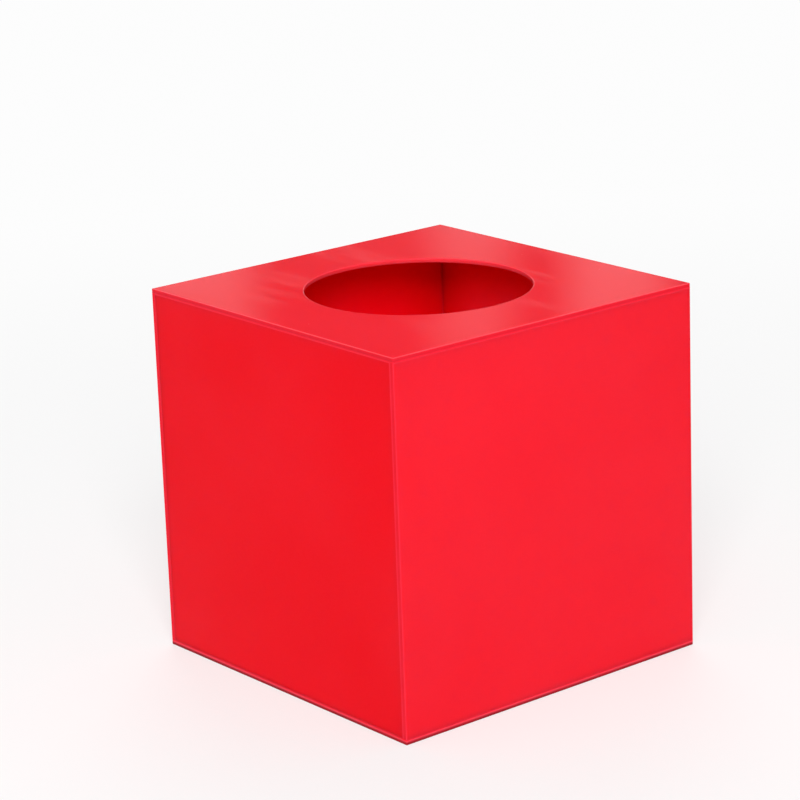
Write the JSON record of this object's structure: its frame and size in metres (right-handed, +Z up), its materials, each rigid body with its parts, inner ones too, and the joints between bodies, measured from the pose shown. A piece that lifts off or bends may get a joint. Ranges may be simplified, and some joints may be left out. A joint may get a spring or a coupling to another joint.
{
  "type": "raffle box",
  "caption": "Glossy red acrylic cube box with a large round hand hole in the middle of its top, for drawing raffle tickets.",
  "frame": {"origin": "centre of the underside, on the surface that the box stands on", "axes": "+Z up through the middle of the hand hole, -Y out of the front panel, +X out of the right panel"},
  "size_m": [0.25, 0.25, 0.25],
  "materials": {
    "red_acrylic": "polished glossy acrylic sheet"
  },
  "bodies": {
    "root": {"base_panel": "red_acrylic", "front_panel": "red_acrylic", "back_panel": "red_acrylic", "left_panel": "red_acrylic", "right_panel": "red_acrylic", "top_panel": "red_acrylic"}
  },
  "joints": []
}
